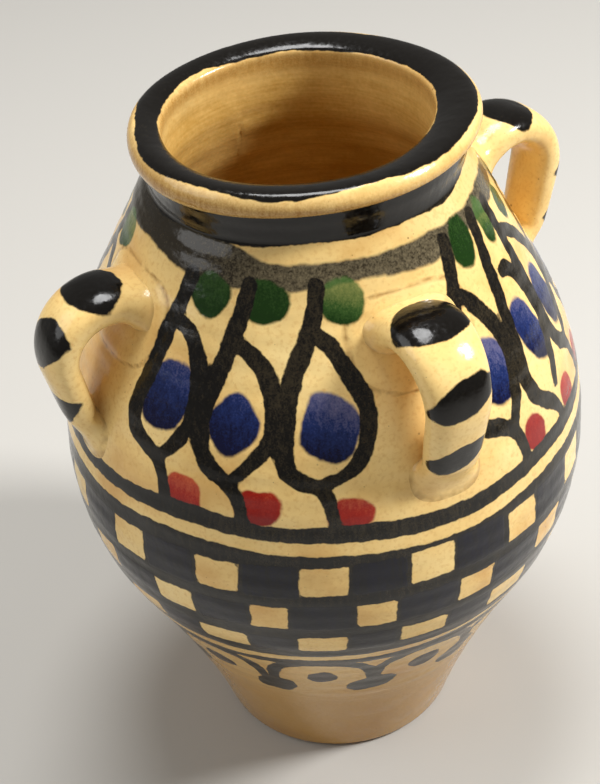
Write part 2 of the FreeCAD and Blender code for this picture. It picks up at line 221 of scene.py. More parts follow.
FAR_MOTIF = {
    "stem": (
        (52.6, 150.5), (52.8, 142.0), (53.0, 134.0), (53.0, 126.0), (52.7, 118.0), (52.8, 113.0),
        (55.0, 109.4), (58.6, 106.6), (61.4, 103.6), (63.6, 99.5),
    ),
    "branch": (
        (57.6, 136.9), (60.6, 136.4), (63.8, 133.4), (66.6, 128.6), (68.0, 123.0), (67.4, 117.4),
        (65.2, 112.2), (63.4, 108.2),
    ),
    "blue": (60.8, 122.3, 5.6, 7.1, -0.25, 0.35),
    "green": (58.4, 147.6, 3.6, 4.6, 0.0, 0.60),
    "red": (68.0, 103.2, 4.2, 3.8, 0.0, 0.30),
}
EDGE_MOTIF = {
    "stem": (
        (61.6, 150.5), (63.6, 144.5), (65.6, 138.5), (67.4, 132.0), (69.0, 125.0), (70.4, 118.0),
        (72.6, 113.0), (76.2, 110.6), (78.8, 107.0), (80.4, 99.5),
    ),
    "branch": (
        (66.4, 142.6), (70.6, 140.4), (75.0, 137.0), (79.4, 132.0), (82.0, 126.0), (82.4, 119.6),
        (80.4, 113.8), (77.6, 110.0),
    ),
    "blue": (76.0, 122.5, 5.4, 6.8, 0.0, 0.30),
    "green": (70.4, 147.4, 4.0, 4.2, 0.0, 0.30),
    "red": (84.6, 103.4, 4.2, 3.8, 0.0, 0.30),
}
# Which motifs stand where: the seen ones in place, and their like in the panels that the photo hides
MOTIF_PLACES = (
    (LEFT_MOTIF, 0.0), (MIDDLE_MOTIF, 0.0), (RIGHT_MOTIF, 0.0),
    (NEAR_MOTIF, 0.0), (FAR_MOTIF, 0.0), (EDGE_MOTIF, 0.0), (MIDDLE_MOTIF, 118.6),
    (LEFT_MOTIF, 182.0), (RIGHT_MOTIF, 162.4), (MIDDLE_MOTIF, 202.0),
    (MIDDLE_MOTIF, 250.6), (LEFT_MOTIF, 291.0), (RIGHT_MOTIF, 272.0),
)
STEM_WIDTH = (3.4, 4.0, 4.2, 3.7, 2.5)
BRANCH_WIDTH = (3.0, 4.0, 3.6, 2.6)

# How far the motifs' paint stays below the ledge's edge
MOTIF_CLEAR = 0.6
# Rough radius of the wall at three heights, for the width of a dot
DOT_HEIGHTS = (30, 84, 151)
DOT_RADII = (36, 60, 41)

# Bands and checks: heights, and how far each sways round the jar
LINE_TOP = (96.3, 100.3)
LINE_SWAY = 0.9
BAND_TOP = 93.3
BAND_LOW = 57.4
BAND_SWAY = 1.4
FRIEZE_LINE = (51.9, 54.9)
FRIEZE_SWAY = 1.5
ARCH_SWAY = 1.6
CHECK_COUNT = 16
CHECK_ROWS = (
    {"start": -46.6, "half_width": 4.55, "low": 81.9, "high": 89.9, "sway": 1.0},
    {"start": -36.2, "half_width": 4.3, "low": 71.1, "high": 78.0, "sway": 1.6},
    {"start": -25.8, "half_width": 5.2, "low": 61.3, "high": 67.0, "sway": 1.9},
)
# The frieze's arches: their line in degrees from a foot and in height, its widths, and the dots at the
# foot and under the arch as height, half width in degrees and half height
ARCH_COUNT = 12
ARCH_START = -21.0
ARCH_LINE = (
    (0.4, 41.0), (1.6, 46.6), (5.0, 50.6), (10.0, 52.6), (15.0, 53.0),
    (20.0, 52.4), (25.0, 50.4), (28.4, 46.4), (29.6, 41.0),
)
ARCH_WIDTH = (3.0, 3.6, 3.0)
FOOT_DOT = (37.2, 8.2, 3.9)
ARCH_DOT = (43.6, 5.3, 3.2)
WASH_LOW = 145.0
# The wash's brush ran over the ledge here: middle, half of the full cover, and where it ends
WASH_OVER_LEDGE = (-85.0, 52.0, 76.0)
# The wash's lower edge dips here: degrees from that middle, where the dip starts and is full, and its depth
WASH_DIP = (72.0, 30.0, 8.0, 0.9)
# The rim's black is brushed narrow here, towards the mouth: middle, half reach and how much
RIM_BARE = (-128.0, 48.0, 0.9)
HANDLE_BEARINGS = {"front": -91.8, "right": 4.0, "back": 88.5, "left": -179.5}
CROWN_HEIGHTS = {"front": 137.6, "right": 143.8, "back": 139.4, "left": 135.4}
# Three dabs on each strap: share of its length from the shoulder, half length, half girth, slant
DABS = {
    "front": ((0.180, 5.0, 10.2, 0.05), (0.495, 3.2, 8.8, 0.19), (0.81, 3.4, 7.8, 0.24)),
    "right": ((0.235, 4.3, 9.6, 0.02), (0.565, 3.7, 8.4, 0.28), (0.81, 3.8, 7.6, 0.24)),
    "back": ((0.210, 4.3, 9.6, 0.02), (0.525, 3.7, 8.4, 0.28), (0.81, 3.8, 7.6, 0.24)),
    "left": ((0.187, 4.3, 9.6, 0.02), (0.465, 4.4, 8.4, 0.28), (0.81, 3.8, 8.4, 0.24)),
}
# The hand-thrown top is out of true along one direction, which is the pattern's own 90 degrees: rise over
# distance of neck, rim's lower edge and crest, and how far the top and the bore stand off centre
TOP_TILT = (0.036, 0.056, 0.026)
TOP_SHIFT = -0.5
BORE_SHIFT = -1.2
# How far a strap's end spreads on the wall: length of the spread, then sideways, above and below
UPPER_SPREAD = (4.6, 3.4, 1.8, 2.2)
LOWER_SPREAD = (4.6, 3.4, 5.0, 1.0)
# Rings of a strap's mesh in its upper spread, along its run and in its lower spread, and points in a ring
STRAP_RINGS = (15, 40, 13)
RING_POINTS = 56
# A strap's section between an oval and a box, across and through, and how much flatter its inner face is
SECTION_SHAPE = (0.78, 0.86)
INNER_FLAT = 0.86
# Clay smoothed on the shoulder round each strap's root: half across, half up and down, drop, rise, seam
SHOULDER_PAD = (14.0, 10.4, 2.2, 0.40, 0.22)

# The outline's sampling, and how far its corners are rubbed round outside and inside
OUTLINE_STEP = 0.2
CORNER_ROUND = 0.6
INSIDE_ROUND = 2.2
PAINT_LOW = 29.0
WALL_STEPS = 360

# Patterns in the glaze: size across, size up and down in millimetres, and detail
PATTERNS = {
    "clouds": (18.18, 18.18, 4.0),
    "wobble": (3.333, 3.333, 2.0),
    "grain": (0.9091, 0.9091, 3.0),
    "dust": (0.4167, 0.4167, 2.0),
    "streak": (0.8929, 7.937, 4.0),
    "turning": (8.929, 0.6579, 3.0),
    "ripple": (5.882, 5.882, 3.0),
}
# Iron specks: a cell's size in millimetres, share of bare cells, largest radius in cells, and strength
SPECKS = ((2.941, 0.62, 0.13, 0.7), (1.0526, 0.72, 0.17, 0.5))
# How far the slips' edges are feathered, in millimetres
FEATHER = {"blue": 0.4, "green": 0.35, "red": 0.35, "wash": 0.4}
INK_FEATHER = 0.2
# Lines pressed in the clay: where their colour starts and is full, in millimetres, and its strength
PRESSED = {"crease": (0.9, 0.3, 0.55), "seam": (0.45, -0.10, 0.85)}
# Settings that make a mix node mix colours, and the output to take
TINT = {"out": 2, "data_type": "RGBA"}

# Lights: place in metres, diameter and power
LIGHTS = {
    "key_light": ((0.55, -0.42, 0.72), 0.20, 10.5),
    "fill_light": ((-0.85, 0.30, 0.70), 0.8, 3.6),
    "top_light": ((0.05, 0.15, 0.95), 0.4, 6.0),
}
LIGHT_TARGET = (0, 0, 0.09)
SKY_LIGHT = 0.27
FLOOR_SIZE = 8.0

# Camera, in metres and degrees, and its focal length on a 36 mm frame
CAMERA_PLACE = (-0.1447, -0.2841, 0.3294)
CAMERA_YAW = 26.05
CAMERA_PITCH = 36.83
CAMERA_ROLL = -4.0
CAMERA_LENS = 78.06


def rad(values):
    """Degrees as radians, for arrays."""
    return np.asarray(values, float) * math.pi / 180


def wrapped(degrees):
    """Degrees brought between -180 and 180."""
    return (degrees + 180) % 360 - 180


def ramp(values, start, end):
    """0 to 1 from start to end with soft ends."""
    share = np.clip((np.asarray(values, float) - start) / (end - start), 0, 1)
    return share * share * (3 - 2 * share)


def waves(values, seed, count, low, high):
    """A smooth, seeded mix of sines over angles in radians, about 1 high, closed over a full turn."""
    dice = random.Random(seed)
    total = np.zeros_like(np.asarray(values, float))
    for _ in range(count):
        total += math.sqrt(2 / count) * np.sin(dice.randint(low, high) * values + dice.uniform(0, 6.283))
    return total


def thrown(turn, height):
    """How far the thrown wall's outside strays from true: slow unevenness and fine turning lines."""
    spiral = height + 1.2 * turn
    lines = 0.05 * np.sin(spiral * 1.45) + 0.04 * np.sin(spiral * 0.62 + 1.0)
    return (0.22 * waves(turn, 31, 3, 2, 5) + lines) * ramp(height, 2.0, 14.0)


class Form:
    """The jar's profile in millimetres, from the size properties."""

    def __init__(self, sizes):
        for name in sizes.__annotations__:
            value = getattr(sizes, name)
            is_angle = name in ("root_slope", "drop_lean", "tuck_turn")
            setattr(self, name, value if is_angle else value / MM)
        self.upper_centre = self.belly_radius - self.upper_belly_curve
        self.lean = self.tangent((self.ledge_radius, self.ledge_height), 0.0)

    def tangent(self, edge, inset):
        """Angle on the upper belly's circle where the line to the edge touches it."""
        out = edge[0] - self.upper_centre
        up = edge[1] - self.belly_height
        return math.atan2(up, out) - math.acos((self.upper_belly_curve - inset) / math.hypot(out, up))

    def on_wall(self, height, shoulder=None):
        """Outer radius and lean of the wall at heights above the belly, or of one with another shoulder."""
        up = np.asarray(height, float) - self.belly_height
        steepest = self.lean if shoulder is None else shoulder
        lean = np.minimum(np.arcsin(np.clip(up / self.upper_belly_curve, -1, 1)), steepest)
        curve = self.upper_belly_curve
        past = up - curve * np.sin(lean)
        return self.upper_centre + curve * np.cos(lean) - past * np.tan(lean), lean

    def side(self, foot, edge, inset):
        """Flank, belly and shoulder from the foot's corner up to the edge, as points."""
        lower = self.lower_belly_curve - inset
        flank = self.flank_curve + inset
        upper = self.upper_belly_curve - inset
        centre = (self.belly_radius - self.lower_belly_curve, self.belly_height)
        to_foot = (foot[0] - centre[0], foot[1] - centre[1])
        far = math.hypot(*to_foot)
        reach = flank + lower
        turn = math.acos((reach**2 + far**2 - flank**2) / (2 * reach * far))
        bearing = math.atan2(to_foot[1], to_foot[0]) + turn
        hub = (centre[0] + reach * math.cos(bearing), centre[1] + reach * math.sin(bearing))
        start = math.atan2(foot[1] - hub[1], foot[0] - hub[0])
        end = bearing + math.pi
        end -= 2 * math.pi * round((end - start) / (2 * math.pi))
        lean = self.tangent(edge, inset)
        runs = (
            (hub, flank, start, end),
            (centre, lower, bearing, 0.0),
            ((self.upper_centre, self.belly_height), upper, 0.0, lean),
        )
        points = []
        for (middle_r, middle_z), radius, first, last in runs:
            for share in np.linspace(0, 1, 80):
                bend = first + (last - first) * share
                points.append((middle_r + radius * math.cos(bend), middle_z + radius * math.sin(bend)))
        return points + [edge]

    def outline(self):
        """The whole wall from the foot's centre round the rim to the floor's, and the runs of its corners."""
        neck_z = self.ledge_height + self.ledge_step
        rim_z = neck_z + self.neck_rise
        top_z = rim_z + self.rim_depth
        collar = self.neck_radius + self.neck_flare
        rim = collar + self.rim_overhang
        crest = rim - self.rim_draw
        foot = (self.foot_radius, self.foot_bevel)
        edge = (self.ledge_radius, self.ledge_height)
        points = [(0.0, 0.0), (self.foot_radius - self.foot_bevel, 0.0)]
        points += self.side(foot, edge, 0.0)
        marks = {"edge": len(points) - 1}
        points.append((self.neck_radius, neck_z))
        marks["neck"] = len(points) - 1
        points.append((collar, rim_z))
        marks["collar"] = len(points) - 1
        points.append((rim, rim_z))
        for share in np.linspace(0, 1, 12)[1:]:
            swell = 4 * share * (1 - share) * self.rim_bulge
            points.append((rim - self.rim_draw * share + swell, rim_z + self.rim_depth * share))
        marks["crest"] = len(points) - 1
        lip = (self.mouth_radius, top_z - self.lip_drop)
        for share in np.linspace(0, 1, 9)[1:]:
            swell = 4 * share * (1 - share) * self.rim_crown
            points.append((crest + (lip[0] - crest) * share, top_z + (lip[1] - top_z) * share + swell))
        marks["lip"] = len(points) - 1
        points.append((self.mouth_radius, self.ledge_height + self.throat_rise))
        marks["throat"] = len(points) - 1
        under = (self.ledge_radius - self.wall, self.ledge_height - self.ledge_wall)
        inner_foot = (self.foot_radius - self.wall, self.floor_wall)
        points += self.side(inner_foot, under, self.wall)[::-1]
        points.append((0.0, self.floor_wall))
        points = np.array(points)
        runs = np.concatenate([[0], np.cumsum(np.linalg.norm(np.diff(points, axis=0), axis=1))])
        return points, runs, {name: runs[index] for name, index in marks.items()}


def softened(points, runs, step, reach):
    """The outline resampled every step and its corners rounded over about reach."""
    even = np.arange(0, runs[-1], step)
    dense = np.stack([np.interp(even, runs, points[:, axis]) for axis in (0, 1)], axis=1)
    span = int(3 * reach / step)
    weights = np.exp(-0.5 * (np.arange(-span, span + 1) * step / reach) ** 2)
    weights /= weights.sum()
    soft = dense.copy()
    for axis in (0, 1):
        padded = np.pad(dense[:, axis], span, mode="edge")
        soft[:, axis] = np.convolve(padded, weights, mode="valid")
    soft[0] = points[0]
    soft[-1] = points[-1]
    return even, soft


def open_mesh():
    """Opens the active piece's mesh with everything selected."""
    bpy.ops.object.mode_set(mode="EDIT")
    bpy.ops.mesh.select_all(action="SELECT")


def begin(name, primitive, **settings):
    """Adds a primitive under a piece's name and opens its mesh."""
    bpy.ops.object.select_all(action="DESELECT")
    primitive(location=(0, 0, 0), **settings)
    piece = bpy.context.object
    piece.name = name
    piece.data.name = name
    open_mesh()
    return piece


def lathe(name, outline, steps):
    """Turns an outline of (radius, height) points in metres about Z."""
    piece = begin(name, bpy.ops.mesh.primitive_plane_add, size=MM)
    bpy.ops.mesh.merge(type="CENTER")
    bpy.ops.transform.translate(value=(outline[0][0], 0, outline[0][1]))
    for before, after in zip(outline, outline[1:]):
        move = (after[0] - before[0], 0, after[1] - before[1])
        bpy.ops.mesh.extrude_vertices_move(TRANSFORM_OT_translate={"value": move})
    bpy.ops.mesh.select_all(action="SELECT")
    bpy.ops.mesh.spin(steps=steps, angle=2 * math.pi, center=(0, 0, 0), axis=(0, 0, 1))
    bpy.ops.mesh.select_all(action="SELECT")
    bpy.ops.mesh.remove_doubles(threshold=0.000002)
    bpy.ops.mesh.normals_make_consistent(inside=False)
    bpy.ops.object.mode_set(mode="OBJECT")
    bpy.ops.object.shade_smooth()
    return piece


def loft(name, rings):
    """A closed tube through rings of points in metres: a circle extruded ring by ring, then capped."""
    count = len(rings[0])
    piece = begin(name, bpy.ops.mesh.primitive_circle_add, vertices=count, radius=10 * MM, fill_type="NGON")
    for _ in rings[1:]:
        bpy.ops.mesh.extrude_region_move(TRANSFORM_OT_translate={"value": (0, 0, MM)})
    bpy.ops.object.mode_set(mode="OBJECT")
    level = np.array([round(v.co.z / MM) for v in piece.data.vertices])
    turn = np.array([math.atan2(v.co.y, v.co.x) for v in piece.data.vertices])
    place = np.round(turn % (2 * math.pi) / (2 * math.pi) * count).astype(int)
    first = place[level == 0][turn[level == 0].argmin()]
    place = (place - first) % count
    spots = np.array(rings)[level, place]
    piece.data.vertices.foreach_set("co", spots.ravel())
    piece.data.update()
    open_mesh()
    bpy.ops.mesh.normals_make_consistent(inside=False)
    bpy.ops.object.mode_set(mode="OBJECT")
    bpy.ops.object.shade_smooth_by_angle(angle=math.radians(62))
    return piece, level, place


def store(piece, name, values):
    """Keeps one number per vertex as a named attribute."""
    layer = piece.data.attributes.new(name, "FLOAT", "POINT")
    layer.data.foreach_set("value", np.asarray(values, np.float32))


def through(points, parts):
    """A smooth line through points, with parts steps between each pair."""
    points = np.array(points, float)
    padded = np.vstack([2 * points[0] - points[1], points, 2 * points[-1] - points[-2]])
    line = []
    for index in range(len(points) - 1):
        a, b, c, d = padded[index:index + 4]
        for share in np.arange(parts) / parts:
            line.append(
                0.5 * (2 * b + (c - a) * share + (2 * a - 5 * b + 4 * c - d) * share**2
                       + (3 * b - a - 3 * c + d) * share**3)
            )
    return np.array(line + [points[-1]])


class Painter:
    """Signed distances in millimetres to painted shapes on the wall: negative inside, one per vertex."""

    def __init__(self, azimuth, height, radius):
        self.azimuth = azimuth
        self.height = height
        self.radius = radius
        self.layers = {}

    def layer(self, name):
        """The distances of one paint, far from everything at first."""
        return self.layers.setdefault(name, np.full(len(self.azimuth), FAR))

    def across(self, azimuth):
        """Distance round the wall from an azimuth, in millimetres."""
        return rad(wrapped(self.azimuth - azimuth)) * self.radius

    def lay(self, name, where, distance):
        """Adds a shape to a paint."""
        values = self.layer(name)
        values[where] = np.minimum(values[where], distance)

    def stroke(self, name, points, widths):
        """A brush stroke along (azimuth, height) points; widths at its start, middle and end."""
        line = through(points, 4)
        middle = line[:, 0].mean()
        reach = np.abs(line[:, 0] - middle).max() + 9
        turn = np.abs(wrapped(self.azimuth - middle))
        low, high = line[:, 1].min() - 6, line[:, 1].max() + 6
        where = np.flatnonzero((turn < reach) & (self.height > low) & (self.height < high))
        scale = self.radius[where] * math.pi / 180
        x = wrapped(self.azimuth[where] - middle) * scale
        best = np.full(len(where), FAR)
        wide = np.interp(np.linspace(0, 1, len(line)), np.linspace(0, 1, len(widths)), widths) / 2
        for index in range(len(line) - 1):
            ax, az = (line[index, 0] - middle) * scale, line[index, 1]
            bx, bz = (line[index + 1, 0] - middle) * scale, line[index + 1, 1]
            along_x, along_z = bx - ax, bz - az
            size = along_x**2 + along_z**2 + 1e-9
            share = np.clip(((x - ax) * along_x + (self.height[where] - az) * along_z) / size, 0, 1)
            gap = np.hypot(x - ax - share * along_x, self.height[where] - az - share * along_z)
            best = np.minimum(best, gap - (wide[index] + (wide[index + 1] - wide[index]) * share))
        self.lay(name, where, best)

    def dot(self, name, azimuth, height, half_turn, half_height, slant, tone=None):
        """A brushed oval, and in the attribute tone how thin its paint is, with painted light on top: paler
        towards its top and its right side.
        """
        x = self.across(azimuth)
        z = self.height - height - slant * x
        half_width = rad(half_turn) * np.interp(height, DOT_HEIGHTS, DOT_RADII)
        near = np.flatnonzero((np.abs(x) < half_width + 8) & (np.abs(z) < half_height + 8))
        spot = np.arctan2(z[near], x[near])
        seed = int(azimuth * 10 + height * 100)
        edge = 1 + 0.045 * waves(spot, seed, 3, 2, 4)
        share = np.hypot(x[near] / half_width, z[near] / half_height) / edge
        self.lay(name, near, (share - 1) * min(half_width, half_height))
        if tone is not None:
            # Painted light: the dot is paler towards its top and right side, over its brushed thinness
            thin_and_painted_light = np.clip(tone * (1.0 + 0.9 * z[near] / half_height + 0.25 * x[near] / half_width), 0, 1)
            tones = self.layer("tone")
            tones[near] = np.where(share < 1.6, thin_and_painted_light, tones[near])

    def ring(self, name, low, high):
        """A band round the jar between two heights, which may change round it."""
        everywhere = np.arange(len(self.azimuth))
        self.lay(name, everywhere, np.maximum(low - self.height, self.height - high))


def carried(form, azimuth, height):
    """A point of the pattern as it was read, moved along the camera's line of sight on to the wall."""
    if height < CARRIED_ABOVE:
        return azimuth, height
    eye = np.array(CAMERA_PLACE) / MM
    radius, _ = form.on_wall(height, form.tangent(READ_LEDGE, 0.0))
    turn = math.radians(azimuth + PATTERN_TURN)
    sight = np.array((radius * math.sin(turn), -radius * math.cos(turn), height)) - eye
    near, far = SIGHT_SHARES
    for _ in range(SIGHT_HALVINGS):
        middle = (near + far) / 2
        spot = eye + middle * sight
        wall, _ = form.on_wall(spot[2])
        if math.hypot(spot[0], spot[1]) > wall:
            near = middle
        else:
            far = middle
    seen = math.degrees(math.atan2(spot[0], -spot[1])) - PATTERN_TURN
    return round(seen, 1), round(float(spot[2]), 1)


def paint_wall(form, painter, run, marks):
    """All the slips brushed on the outside of the wall."""
    azimuth = painter.azimuth
    turn = rad(azimuth)
    seen = azimuth - PATTERN_TURN
    everywhere = np.arange(len(azimuth))
    outside = run < marks["edge"]
    painter.layer("tone")[:] = 0.0

    for motif, shift in MOTIF_PLACES:
        move = shift + PATTERN_TURN
        for name, widths in (("stem", STEM_WIDTH), ("branch", BRANCH_WIDTH)):
            points = [carried(form, place, height) for place, height in motif[name]]
            painter.stroke("ink", [(place + move, height) for place, height in points], widths)
        for name in ("blue", "green", "red"):
            place, height, half_turn, half_height, slant, tone = motif[name]
            place, height = carried(form, place, height)
            painter.dot(name, place + move, height, half_turn, half_height, slant, tone)

    for name in ("ink", "blue", "green", "red"):
        painter.layer(name)[:] = np.maximum(painter.layer(name), run - marks["edge"] + MOTIF_CLEAR)

    # Two lines over the checks
    lift = -LINE_SWAY * np.cos(3 * rad(seen - 15)) + 0.25 * waves(turn, 5, 4, 5, 12)
    painter.ring("ink", LINE_TOP[0] + lift, LINE_TOP[1] + lift + 0.2 * waves(turn, 6, 3, 7, 15))

    # The checks: a dark band with cream cells left bare, and navy in the dark ones
    low = BAND_LOW + BAND_SWAY * np.sin(rad(seen))
    dark = np.maximum(painter.height - BAND_TOP - lift, low - painter.height)
    dice = random.Random(11)
    cells = np.full(len(azimuth), FAR)
    for row in CHECK_ROWS:
        for index in range(CHECK_COUNT):
            centre = row["start"] + 360 / CHECK_COUNT * index + dice.uniform(-0.5, 0.5)
            rise = row["sway"] * math.sin(math.radians(centre))
            middle = (row["low"] + row["high"]) / 2 + rise + dice.uniform(-0.25, 0.25)
            half_height = (row["high"] - row["low"]) / 2 + dice.uniform(-0.25, 0.25)
            half_turn = row["half_width"] + dice.uniform(-0.45, 0.45)
            lean = dice.uniform(-0.05, 0.07)
            x = painter.across(centre + PATTERN_TURN)
            z = painter.height - middle - 0.02 * x
            half_width = rad(half_turn) * painter.radius
            cell = np.maximum(np.abs(x - lean * z) - half_width, np.abs(z) - half_height)
            cells = np.minimum(cells, cell)
            x = painter.across(centre + 180 / CHECK_COUNT + PATTERN_TURN)
            half_width = rad(180 / CHECK_COUNT - half_turn) * painter.radius - 0.9
            filled = np.maximum(np.abs(x) - half_width, np.abs(z) - half_height - 0.4)
            painter.lay("navy", everywhere, filled)
    painter.lay("ink", everywhere, np.where(outside, np.maximum(dark, -cells), FAR))
    painter.layer("navy")[:] = np.where(outside, painter.layer("navy"), FAR)

    # The frieze: a line, arches that hang from it, and a dot at each foot and under each arch
    sway = FRIEZE_SWAY * np.sin(rad(seen))
    painter.ring("ink", FRIEZE_LINE[0] + sway, FRIEZE_LINE[1] + sway + 0.3 * waves(turn, 8, 3, 4, 9))
    pitch = 360 / ARCH_COUNT
    for index in range(ARCH_COUNT):
        foot = ARCH_START + pitch * index + dice.uniform(-1.2, 1.2)
        rise = ARCH_SWAY * math.sin(math.radians(foot)) + dice.uniform(-0.4, 0.4)
        painter.stroke("ink", [(foot + x + PATTERN_TURN, z + rise) for x, z in ARCH_LINE], ARCH_WIDTH)
        low, half_turn, half_height = FOOT_DOT
        half_turn += dice.uniform(-0.8, 0.4)
        painter.dot("ink", foot + PATTERN_TURN, low + rise, half_turn, half_height, 0.10)
        low, half_turn, half_height = ARCH_DOT
        half_turn += dice.uniform(-0.5, 0.5)
        painter.dot("umber", foot + pitch / 2 + PATTERN_TURN, low + rise, half_turn, half_height, 0.0)

    # The wash at the shoulder's top, the neck and the rim
    middle, full, ends = WASH_OVER_LEDGE
    spread = wrapped(seen - middle)
    dip_place, dip_start, dip_full, depth = WASH_DIP
    dip = depth * ramp(np.abs(spread - dip_place), dip_start, dip_full)
    edge = WASH_LOW - dip + 0.35 * waves(turn, 21, 4, 3, 9)
    drawn_back = ramp(np.abs(spread), full, ends) * (marks["neck"] - marks["edge"] + 1.1)
    over = marks["neck"] + 0.5 - drawn_back + 0.25 * waves(turn, 22, 3, 5, 11)
    painter.lay("wash", everywhere, np.maximum(edge - painter.height, run - over))
    loaded = 0.5 * ramp(np.abs(spread), 75.0, 30.0)
    painter.layer("load")[:] = np.maximum(loaded, ramp(run, marks["neck"] - 0.5, marks["neck"] + 0.5))
    neck = marks["neck"] - 0.4 + 0.35 * waves(turn, 23, 4, 3, 9)
    painter.lay("ink", everywhere, np.maximum(neck - run, run - marks["collar"] - 0.9))
    middle, reach, narrowing = RIM_BARE
    bare = narrowing * ramp(np.abs(wrapped(seen - middle)), reach, 0.0)
    crest = marks["crest"] - 0.6 + 0.5 * waves(turn, 24, 4, 2, 7)
    lip = marks["lip"] - 0.1 + 0.4 * waves(turn, 25, 5, 3, 14) - bare
    painter.lay("ink", everywhere, np.maximum(crest - run, run - lip))


def add(tree, kind, values=None, out=0, **settings):
    """Adds a shader node, sets its settings, sets or links its inputs, and gives one of its outputs."""
    made = tree.nodes.new(f"ShaderNode{kind}")
    for name, value in settings.items():
        setattr(made, name, value)
    for place, value in (values or {}).items():
        if isinstance(value, bpy.types.NodeSocket):
            tree.links.new(value, made.inputs[place])
        else:
            made.inputs[place].default_value = value
    return made.outputs[out]


